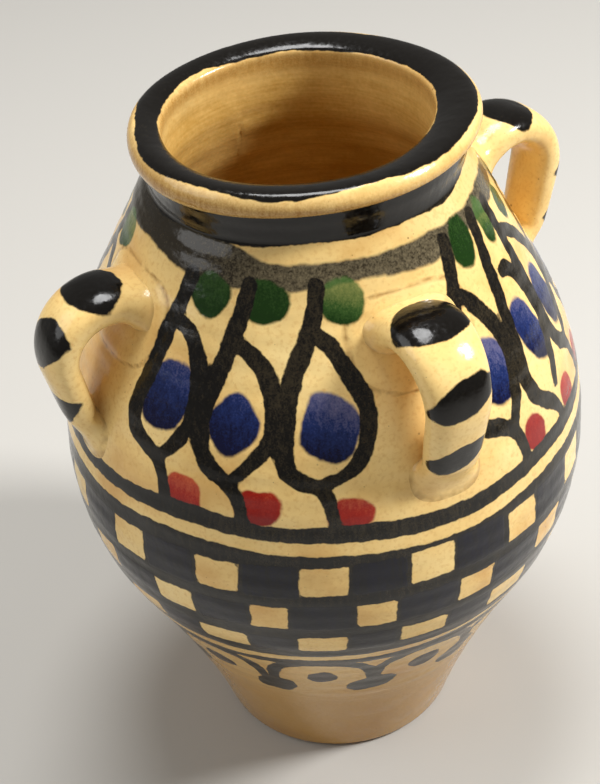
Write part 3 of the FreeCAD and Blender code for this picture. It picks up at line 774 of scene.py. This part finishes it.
def glaze(name, colours, paints, has_inside):
    """Cream slip under clear glaze, with the painter's slips between them.

    The real glaze gives a wet gloss with slow ripples, cream that pales and browns in soft clouds, iron
    specks under half a millimetre wide, and slips that are grained where the brush ran thin and feathered
    at the edge. Painted light is added as well: painted shade browns the lower jar and darkens the inside's
    grooves, and the coloured dots are painted paler towards their top and right.
    """
    material = bpy.data.materials.new(name)
    material.use_nodes = True
    tree = material.node_tree
    tree.nodes.clear()
    node = partial(add, tree)
    spot = node("VectorMath", {0: node("TexCoord", out="Object"), 3: 1 / MM}, operation="SCALE")
    height = node("SeparateXYZ", {0: spot}, out=2)

    # Slow clouds, wandering edges, grain, dust, brush streaks up and down, streaks round the jar, ripples
    noises = []
    for across, tall, detail in PATTERNS.values():
        spread = node("VectorMath", {0: spot, 1: (1 / across, 1 / across, 1 / tall)}, operation="MULTIPLY")
        noises.append(node("TexNoise", {"Vector": spread, "Scale": 1.0, "Detail": detail}))
    clouds, wobble, grain, dust, streak, turning, ripple = noises
    brushed = node("Math", {0: dust, 1: streak})

    # Cream slip: pale where thick, honey where thin
    cream = node("ValToRGB", {0: clouds})
    stops = cream.node.color_ramp.elements
    stops[0].position, stops[0].color = 0.26, colours.honey
    stops[1].position, stops[1].color = 0.74, colours.pale
    stops.new(0.47).color = colours.cream
    thin = node("MapRange", {0: grain, 1: 0.50, 2: 0.80, 3: 0.0, 4: 0.6})
    shade = node("Mix", {0: thin, 6: cream, 7: colours.honey}, **TINT)

    # Browner towards the foot, which is bare of pattern, as tan clay and as painted shade of the lower jar;
    # browner on the rim's outer side below its top
    low = node("Math", {0: turning, 1: 16.0, 2: height}, operation="MULTIPLY_ADD")
    low = node("MapRange", {0: low, 1: 78.0, 2: 34.0, 3: 0.0, 4: 0.85})
    shade = node("Mix", {0: low, 6: shade, 7: colours.foot}, **TINT)
    rim = node("MapRange", {0: height, 1: 165.0, 2: 161.4})
    neck = node("MapRange", {0: height, 1: 158.0, 2: 160.0})
    for share in (neck, brushed, 0.8):
        rim = node("Math", {0: rim, 1: share}, operation="MULTIPLY")
    shade = node("Mix", {0: rim, 6: shade, 7: colours.foot}, **TINT)

    # Iron specks: a few cells of a cell pattern, and only their middles
    for cell, rare, size, depth in SPECKS:
        distance = node("TexVoronoi", {"Vector": spot, "Scale": 1 / cell})
        pick = node("SeparateColor", {0: distance.node.outputs["Color"]})
        speck = node("MapRange", {0: pick, 1: rare, 2: 1.0, 3: 0.0, 4: size})
        speck = node("Math", {0: speck, 1: distance}, operation="SUBTRACT")
        speck = node("MapRange", {0: speck, 1: 0.0, 2: 0.06, 3: 0.0, 4: depth})
        shade = node("Mix", {0: speck, 6: shade, 7: colours.speck}, **TINT)

    if has_inside:
        # Bare clay inside: ochre, with painted shade darker in the throwing grooves
        painted_groove_shade = node("Math", {0: turning, 1: 0.45, 2: clouds}, operation="MULTIPLY_ADD")
        painted_groove_shade = node("Math", {0: grain, 1: 0.35, 2: painted_groove_shade}, operation="MULTIPLY_ADD")
        painted_groove_shade = node("MapRange", {0: painted_groove_shade, 1: 0.70, 2: 1.10})
        clay = node("Mix", {0: painted_groove_shade, 6: colours.ochre, 7: colours.ochre_groove_shade}, **TINT)
        depth = node("Attribute", out="Fac", attribute_name="inside")
        depth = node("Math", {0: wobble, 1: 3.0, 2: depth}, operation="MULTIPLY_ADD")
        inner = node("MapRange", {0: depth, 1: 1.0, 2: 9.0})
        shade = node("Mix", {0: inner, 6: shade, 7: clay}, **TINT)

    # Each slip: its edge wanders by a few tenths of a millimetre, and the brush leaves it thin in places
    loose = node("Math", {0: wobble, 1: 1.2, 2: -0.6}, operation="MULTIPLY_ADD")
    loose = node("Math", {0: grain, 1: 0.35, 2: loose}, operation="MULTIPLY_ADD")
    loose = node("Math", {0: loose, 1: 0.17}, operation="SUBTRACT")
    tone = node("Attribute", out="Fac", attribute_name="tone")
    load = node("Attribute", out="Fac", attribute_name="load")
    for paint in paints:
        edge = node("Attribute", out="Fac", attribute_name=paint)
        edge = node("Math", {0: edge, 1: loose})
        feather = FEATHER.get(paint, INK_FEATHER)
        cover = node("MapRange", {0: edge, 1: feather, 2: -feather}, interpolation_type="SMOOTHSTEP")
        if paint in ("blue", "green", "red"):
            slip = (getattr(colours, paint), getattr(colours, f"{paint}_thin"))
            # The tone attribute holds the brush's thinness and painted light, paler at each dot's top and
            # right
            light = node("Math", {0: brushed, 1: 0.55, 2: tone}, operation="MULTIPLY_ADD")
            light = node("MapRange", {0: light, 1: 0.66, 2: 1.80})
            sheer = node("MapRange", {0: light, 1: 0.3, 2: 1.0, 3: 1.0, 4: 0.78})
            cover = node("Math", {0: cover, 1: sheer}, operation="MULTIPLY")
        elif paint == "wash":
            slip = (colours.ink_thin, colours.wash)
            light = node("Math", {0: dust, 1: grain})
            light = node("Math", {0: light, 1: load}, operation="SUBTRACT")
            light = node("MapRange", {0: light, 1: 0.68, 2: 1.28})
        elif paint in PRESSED:
            slip = (colours.speck, colours.foot)
            light = grain
            start, full, strength = PRESSED[paint]
            edge = node("MapRange", {0: edge, 1: start, 2: full})
            worn = node("MapRange", {0: wobble, 1: 0.34, 2: 0.56, 3: 0.0, 4: strength})
            cover = node("Math", {0: edge, 1: worn}, operation="MULTIPLY")
        elif paint == "ink":
            slip = (colours.ink, colours.ink_thin)
            light = node("Math", {0: clouds, 1: 0.9, 2: brushed}, operation="MULTIPLY_ADD")
            light = node("Math", {0: load, 1: -0.4, 2: light}, operation="MULTIPLY_ADD")
            light = node("MapRange", {0: light, 1: 1.30, 2: 1.75})
        else:
            slip = (getattr(colours, paint), colours.ink)
            light = node("MapRange", {0: brushed, 1: 0.8, 2: 1.2})
        fill = node("Mix", {0: light, 6: slip[0], 7: slip[1]}, **TINT)
        shade = node("Mix", {0: cover, 6: shade, 7: fill}, **TINT)

    # Gloss, dull on the bare clay inside, and the ripple of the glaze over the last slip's slight height
    relief = ripple
    for pattern, share in ((grain, 0.07), (turning, 0.05), (cover, 0.10)):
        relief = node("Math", {0: pattern, 1: share, 2: relief}, operation="MULTIPLY_ADD")
    bump = node("Bump", {"Height": relief, "Strength": 0.6, "Distance": 0.0004})
    rough = node("MapRange", {0: grain, 1: 0.3, 2: 0.7, 3: 0.10, 4: 0.24})
    if has_inside:
        rough = node("Mix", {0: inner, 2: rough, 3: 0.62})
    finish = {"Base Color": shade, "Roughness": rough, "Normal": bump, "Specular IOR Level": 0.36}
    surface = node("BsdfPrincipled", finish)
    tree.links.new(surface, tree.nodes.new("ShaderNodeOutputMaterial").inputs[0])
    return material


def finish_piece(piece, node, material):
    """Rides on the root, hides its node's imported part and takes its glaze."""
    piece.data.materials.clear()
    piece.data.materials.append(material)
    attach(piece, "root")
    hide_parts(node)


def shoulder_pads(form, painter):
    """Distance in millimetres to the edge of the nearest strap's pad on the shoulder, negative on the pad."""
    half_across, half_up, drop = SHOULDER_PAD[:3]
    nearest = np.full(len(painter.azimuth), FAR)
    for name, bearing in HANDLE_BEARINGS.items():
        _, line = strap_line(form, CROWN_HEIGHTS[name])
        wall, lean = form.on_wall(line[:, 1])
        root = np.flatnonzero(line[:, 0] > wall)[0]
        across = np.abs(painter.across(bearing + 90) / half_across)
        along = np.abs((painter.height - line[root, 1] + drop) / (half_up * math.cos(lean[root])))
        nearest = np.minimum(nearest, ((across**3 + along**3) ** (1 / 3) - 1) * half_up)
    return nearest


def wall_line(form):
    """Rows of the wall's softened outline as (radius, height), their runs, and the runs of its corners."""
    points, runs, marks = form.outline()
    even, soft = softened(points, runs, OUTLINE_STEP, CORNER_ROUND)
    _, round_inside = softened(points, runs, OUTLINE_STEP, INSIDE_ROUND)
    inner = ramp(even, marks["lip"] + 3.0, marks["lip"] + 8.0)[:, None]
    soft = soft * (1 - inner) + round_inside * inner

    # Where each spacing of rows ends: close where there is paint or a corner, wide inside and underneath
    paint_start = float(even[np.argmax(soft[:, 1] > PAINT_LOW)])
    zones = (
        (27.0, 4.5), (32.0, 0.6), (paint_start, 2.2), (marks["edge"] - 1.5, 0.98),
        (marks["lip"] + 1.5, 0.58), (marks["throat"] + 2.0, 1.3), (runs[-1] - 24.0, 3.0), (runs[-1], 6.0),
    )
    rows = [0.0]
    for end, spacing in zones:
        count = max(1, round((end - rows[-1]) / spacing))
        rows += list(np.linspace(rows[-1], end, count + 1)[1:])
    rows = np.array(rows)
    line = np.stack([np.interp(rows, even, soft[:, axis]) for axis in (0, 1)], axis=1)
    line[0, 0] = 0.0
    line[-1, 0] = 0.0
    return line, rows, marks


def leave_by_hand(spots, azimuth, inside, pads):
    """Moves the true wall's points to where the potter's hand left them."""
    turn = rad(azimuth)
    radius = np.hypot(spots[:, 0], spots[:, 1])
    height = spots[:, 2].copy()
    spiral = height + 1.2 * turn
    grooves = 0.45 * np.sin(spiral * 0.75) + 0.2 * np.sin(spiral * 1.6)
    out = thrown(turn, height) + SHOULDER_PAD[3] * ramp(-pads, -0.1, 1.1)
    out += ramp(inside, 8.0, 22.0) * ramp(radius, 4.0, 16.0) * grooves
    spots[:, 0] += out * np.sin(turn)
    spots[:, 1] -= out * np.cos(turn)
    spots[:, 2] -= ramp(height, 155, 164) * 0.35 * (1 + waves(turn, 32, 3, 1, 3) / 2)
    aside = rad(PATTERN_TURN + 90)
    top = ramp(height, 145.0, 151.5)
    tilt = np.interp(height, (152.0, 160.0, 164.0), TOP_TILT)
    shift = TOP_SHIFT * top + BORE_SHIFT * ramp(inside, -8.0, 0.0) * ramp(inside, 30.0, 12.0)
    spots[:, 2] += top * tilt * radius * np.cos(turn - aside)
    spots[:, 0] += shift * math.sin(aside)
    spots[:, 1] -= shift * math.cos(aside)


class JAR_OT_wall(bpy.types.Operator):
    """Throws the jar's wall and brushes its pattern on"""

    bl_idname = "jar.wall"
    bl_label = "Jar wall"

    def execute(self, context):
        form = Form(context.scene.jar_sizes)
        line, rows, marks = wall_line(form)
        wall = lathe("jar_wall", line * MM, WALL_STEPS)

        # Each point's azimuth, and its run along the outline from the nearest row
        spots = np.empty(len(wall.data.vertices) * 3)
        wall.data.vertices.foreach_get("co", spots)
        spots = spots.reshape(-1, 3) / MM
        radius = np.hypot(spots[:, 0], spots[:, 1])
        height = spots[:, 2].copy()
        azimuth = np.degrees(np.arctan2(spots[:, 0], -spots[:, 1]))
        nearest = np.empty(len(spots), int)
        for start in range(0, len(spots), 8000):
            part = slice(start, start + 8000)
            gaps = np.hypot(radius[part, None] - line[None, :, 0], height[part, None] - line[None, :, 1])
            nearest[part] = gaps.argmin(axis=1)
        run = rows[nearest]
        inside = run - marks["lip"]

        painter = Painter(azimuth, height, np.maximum(radius, 1.0))
        paint_wall(form, painter, run, marks)
        pads = np.where(run < marks["edge"], shoulder_pads(form, painter), FAR)
        painter.layer("seam")[:] = np.abs(pads) - SHOULDER_PAD[4]
        for name, values in painter.layers.items():
            store(wall, name, values if name in ("tone", "load") else np.where(inside > 2, FAR, values))
        store(wall, "inside", inside)

        leave_by_hand(spots, azimuth, inside, pads)
        wall.data.vertices.foreach_set("co", (spots * MM).ravel())
        wall.data.update()

        paints = ("seam", "wash", "blue", "green", "red", "umber", "ink", "navy")
        wall_glaze = glaze("painted_vessel_glaze", context.scene.jar_colours, paints, True)
        finish_piece(wall, "vessel_body", wall_glaze)
        return {"FINISHED"}


def strap_line(form, crown):
    """A strap's centre line as (radius, height) points every quarter millimetre, from shoulder to belly."""
    centre = np.array((form.belly_radius + form.strap_reach - form.crown_curve, crown - form.crown_curve))
    slope, lean, turn = form.root_slope, form.drop_lean, form.tuck_turn

    def heading(bend):
        return np.array((math.cos(bend), math.sin(bend)))

    start = math.pi / 2 + slope
    root_end = centre + form.crown_curve * heading(start)
    drop_top = centre + form.crown_curve * heading(-lean)
    drop_low = drop_top - form.drop_run * heading(math.pi / 2 - lean)
    hub = drop_low - form.tuck_curve * heading(-lean)
    tail = hub + form.tuck_curve * heading(-lean - turn)
    tail_end = tail - form.tuck_run * heading(math.pi / 2 - lean - turn)
    corners = [root_end - form.root_run * heading(slope)]
    for share in np.linspace(0, 1, 60):
        corners.append(centre + form.crown_curve * heading(start - share * (start + lean)))
    for share in np.linspace(0, 1, 30):
        corners.append(hub + form.tuck_curve * heading(-lean - share * turn))
    corners.append(tail_end)
    corners = np.array(corners)
    runs = np.concatenate([[0], np.cumsum(np.linalg.norm(np.diff(corners, axis=0), axis=1))])
    even = np.arange(0, runs[-1], 0.25)
    line = np.stack([np.interp(even, runs, corners[:, axis]) for axis in (0, 1)], axis=1)
    return even, line


def strap_rings(form, crown, bearing, seed):
    """Rings of a strap from wall to wall, flared at both ends, with each ring's run and each point's girth.

    Returns points in millimetres, runs from the upper wall, and girths from the outer face's middle.
    """
    even, line = strap_line(form, crown)
    wall_r, _ = form.on_wall(line[:, 1])
    clear = np.flatnonzero(line[:, 0] > wall_r)
    first, last = even[clear[0]], even[clear[-1]]
    flare_top, flare_low = UPPER_SPREAD[0], LOWER_SPREAD[0]
    places = np.concatenate([
        first + flare_top * np.linspace(0, 1, STRAP_RINGS[0]) ** 1.6,
        np.linspace(first + flare_top, last - flare_low, STRAP_RINGS[1])[1:-1],
        last - flare_low * np.linspace(1, 0, STRAP_RINGS[2]) ** 1.6,
    ])
    bends = np.gradient(line, 0.25, axis=0)
    phases = np.linspace(0, 2 * math.pi, RING_POINTS, endpoint=False) + math.pi / 2
    b = math.radians(bearing)
    outward = np.array((math.cos(b), math.sin(b), 0.0))
    sideways = np.array((-math.sin(b), math.cos(b), 0.0))
    rings = []
    girths = []
    twist = random.Random(seed).uniform(-0.5, 0.5)
    for place in places:
        share = (place - first) / (last - first)
        middle = np.array([np.interp(place, even, line[:, axis]) for axis in (0, 1)])
        heading = np.array([np.interp(place, even, bends[:, axis]) for axis in (0, 1)])
        heading /= np.linalg.norm(heading)
        _, lean = form.on_wall(middle[1])
        normal = np.array((math.cos(lean), math.sin(lean)))
        to_top, to_low = (place - first) / flare_top, (last - place) / flare_low
        upper = to_top < to_low
        near = min(to_top, to_low)
        face = normal if upper else -normal
        mix = float(ramp(near, 0.0, 1.7))
        heading = face * (1 - mix) + heading * mix
        heading /= np.linalg.norm(heading)
        thick_way = np.array((-heading[1], heading[0]))
        half_width = (form.strap_width_top + (form.strap_width_low - form.strap_width_top) * share) / 2
        half_thick = (form.strap_thick_top + (form.strap_thick_low - form.strap_thick_top) * share) / 2
        half_width *= 1 + 0.02 * math.sin(place * 0.22 + seed)
        flare = 1 - math.sqrt(1 - (1 - min(near, 1.0)) ** 2)
        _, beside, above, below = UPPER_SPREAD if upper else LOWER_SPREAD
        grow = flare * (1 + 0.16 * waves(phases, seed + (3 if upper else 7), 3, 1, 4))
        c, s = np.cos(phases), np.sin(phases)
        x = (half_width + grow * beside) * np.sign(c) * np.abs(c) ** SECTION_SHAPE[0]
        y = (half_thick + grow * np.where(s > 0, above, below)) * np.sign(s) * np.abs(s) ** SECTION_SHAPE[1]
        y = np.where(s > 0, y, y * INNER_FLAT)
        radius = middle[0] + y * thick_way[0]
        height = middle[1] + y * thick_way[1] + twist * 0.02 * x
        points = radius[:, None] * outward + x[:, None] * sideways
        points[:, 2] = height
        if near < 1:
            reach = np.hypot(points[:, 0], points[:, 1])
            wall, lean = form.on_wall(points[:, 2])
            wall = wall + thrown(np.arctan2(points[:, 0], -points[:, 1]), points[:, 2])
            stand = (reach - wall) * np.cos(lean)
            gap = near * (flare_top if upper else flare_low)
            shift = (gap - 0.15 * (1 - near) - stand) * (1 - near)
            points[:, :2] *= ((reach + shift * np.cos(lean)) / reach)[:, None]
            points[:, 2] += shift * np.sin(lean)
        steps = np.linalg.norm(np.roll(points, -1, axis=0) - points, axis=1)
        girth = np.concatenate([[0], np.cumsum(steps)[:-1]])
        girth = np.where(girth > steps.sum() / 2, girth - steps.sum(), girth)
        rings.append(points)
        girths.append(girth)
    return np.array(rings), places - first, np.array(girths)


class JAR_OT_handles(bpy.types.Operator):
    """Pulls the four straps and smooths their ends on to the wall"""

    bl_idname = "jar.handles"
    bl_label = "Strap handles"

    def execute(self, context):
        form = Form(context.scene.jar_sizes)
        colours = context.scene.jar_colours
        strap_glaze = glaze("painted_handle_glaze", colours, ("ink",), False)
        pad_glaze = glaze("clay_pad_glaze", colours, ("crease", "ink"), False)
        for seed, (name, bearing) in enumerate(HANDLE_BEARINGS.items(), start=41):
            rings, runs, girths = strap_rings(form, CROWN_HEIGHTS[name], bearing, seed)
            top = STRAP_RINGS[0]
            low = len(rings) - STRAP_RINGS[2]
            parts = {
                f"{name}_upper_pad": (0, top, "clay_pad_glaze", pad_glaze),
                f"handle_{name}": (top - 1, low + 1, "painted_handle_glaze", strap_glaze),
                f"{name}_lower_pad": (low, len(rings), "clay_pad_glaze", pad_glaze),
            }
            for node, (start, end, slot, material) in parts.items():
                piece, level, place = loft(f"{node}_clay", rings[start:end] * MM)
                run = runs[start:end][level]
                girth = girths[start:end][level, place]
                dabs = np.full(len(run), FAR)
                for share, half_run, half_girth, slant in DABS[name]:
                    along = run - share * runs[-1] - slant * girth
                    taper = 1 - 0.3 * np.clip(girth / half_girth, -1, 1) ** 2
                    reach = np.hypot(along / (half_run * taper), girth / half_girth)
                    dabs = np.minimum(dabs, (reach - 1) * half_run)
                store(piece, "ink", dabs)
                store(piece, "load", np.ones(len(run)))
                store(piece, "crease", run if start == 0 else runs[-1] - run)
                finish_piece(piece, node, material)
        return {"FINISHED"}


class JAR_OT_stage(bpy.types.Operator):
    """Sets the pale floor, the soft lights and the camera"""

    bl_idname = "jar.stage"
    bl_label = "Studio"

    def execute(self, context):
        scene = context.scene
        bpy.ops.object.select_all(action="DESELECT")
        bpy.ops.mesh.primitive_plane_add(size=FLOOR_SIZE, location=(0, 0, 0))
        floor = context.object
        floor.name = "studio_floor"
        material = bpy.data.materials.new("studio_floor")
        material.use_nodes = True
        surface = material.node_tree.nodes["Principled BSDF"]
        surface.inputs["Base Color"].default_value = scene.jar_colours.floor
        surface.inputs["Roughness"].default_value = 0.75
        floor.data.materials.append(material)

        target = Vector(LIGHT_TARGET)
        for name, (spot, size, power) in LIGHTS.items():
            bpy.ops.object.light_add(type="AREA", location=spot)
            lamp = context.object
            lamp.name = name
            lamp.data.shape = "DISK"
            lamp.data.size = size
            lamp.data.energy = power
            lamp.rotation_euler = (target - Vector(spot)).to_track_quat("-Z", "Y").to_euler()

        world = bpy.data.worlds.new("studio")
        world.use_nodes = True
        sky = world.node_tree.nodes["Background"]
        sky.inputs["Color"].default_value = linear("#F4F2EE")
        sky.inputs["Strength"].default_value = SKY_LIGHT
        scene.world = world
        scene.view_settings.view_transform = "Standard"

        yaw, pitch, roll = (math.radians(v) for v in (CAMERA_YAW, CAMERA_PITCH, CAMERA_ROLL))
        forward = Vector((math.sin(yaw) * math.cos(pitch), math.cos(yaw) * math.cos(pitch), -math.sin(pitch)))
        level = Vector((math.cos(yaw), -math.sin(yaw), 0))
        rise = level.cross(forward)
        right = level * math.cos(roll) + rise * math.sin(roll)
        up = rise * math.cos(roll) - level * math.sin(roll)
        bpy.ops.object.camera_add(location=CAMERA_PLACE)
        camera = context.object
        turned = Matrix((right, up, -forward)).transposed().to_4x4()
        camera.matrix_world = Matrix.Translation(CAMERA_PLACE) @ turned
        camera.data.lens = CAMERA_LENS
        camera.data.sensor_width = 36.0
        camera.data.clip_start = 0.01
        scene.camera = camera
        return {"FINISHED"}


class JAR_PT_panel(bpy.types.Panel):
    """The jar's operators, sizes and colours"""

    bl_idname = "JAR_PT_panel"
    bl_label = "Jar"
    bl_space_type = "VIEW_3D"
    bl_region_type = "UI"
    bl_category = "Jar"

    def draw(self, context):
        for step in (JAR_OT_wall, JAR_OT_handles, JAR_OT_stage):
            self.layout.operator(step.bl_idname)
        for group in (context.scene.jar_sizes, context.scene.jar_colours):
            column = self.layout.column(align=True)
            for name in group.__annotations__:
                column.prop(group, name)


CLASSES = (JarSizes, JarColours, JAR_OT_wall, JAR_OT_handles, JAR_OT_stage, JAR_PT_panel)


def register():
    """Adds the classes and the scene's size and colour groups."""
    for item in CLASSES:
        bpy.utils.register_class(item)
    bpy.types.Scene.jar_sizes = bpy.props.PointerProperty(type=JarSizes)
    bpy.types.Scene.jar_colours = bpy.props.PointerProperty(type=JarColours)


def unregister():
    """Takes them away again."""
    del bpy.types.Scene.jar_colours
    del bpy.types.Scene.jar_sizes
    for item in reversed(CLASSES):
        bpy.utils.unregister_class(item)


def main():
    """Builds the jar and its stage."""
    register()
    bpy.ops.jar.wall()
    bpy.ops.jar.handles()
    bpy.ops.jar.stage()


if __name__ == "__main__":
    main()
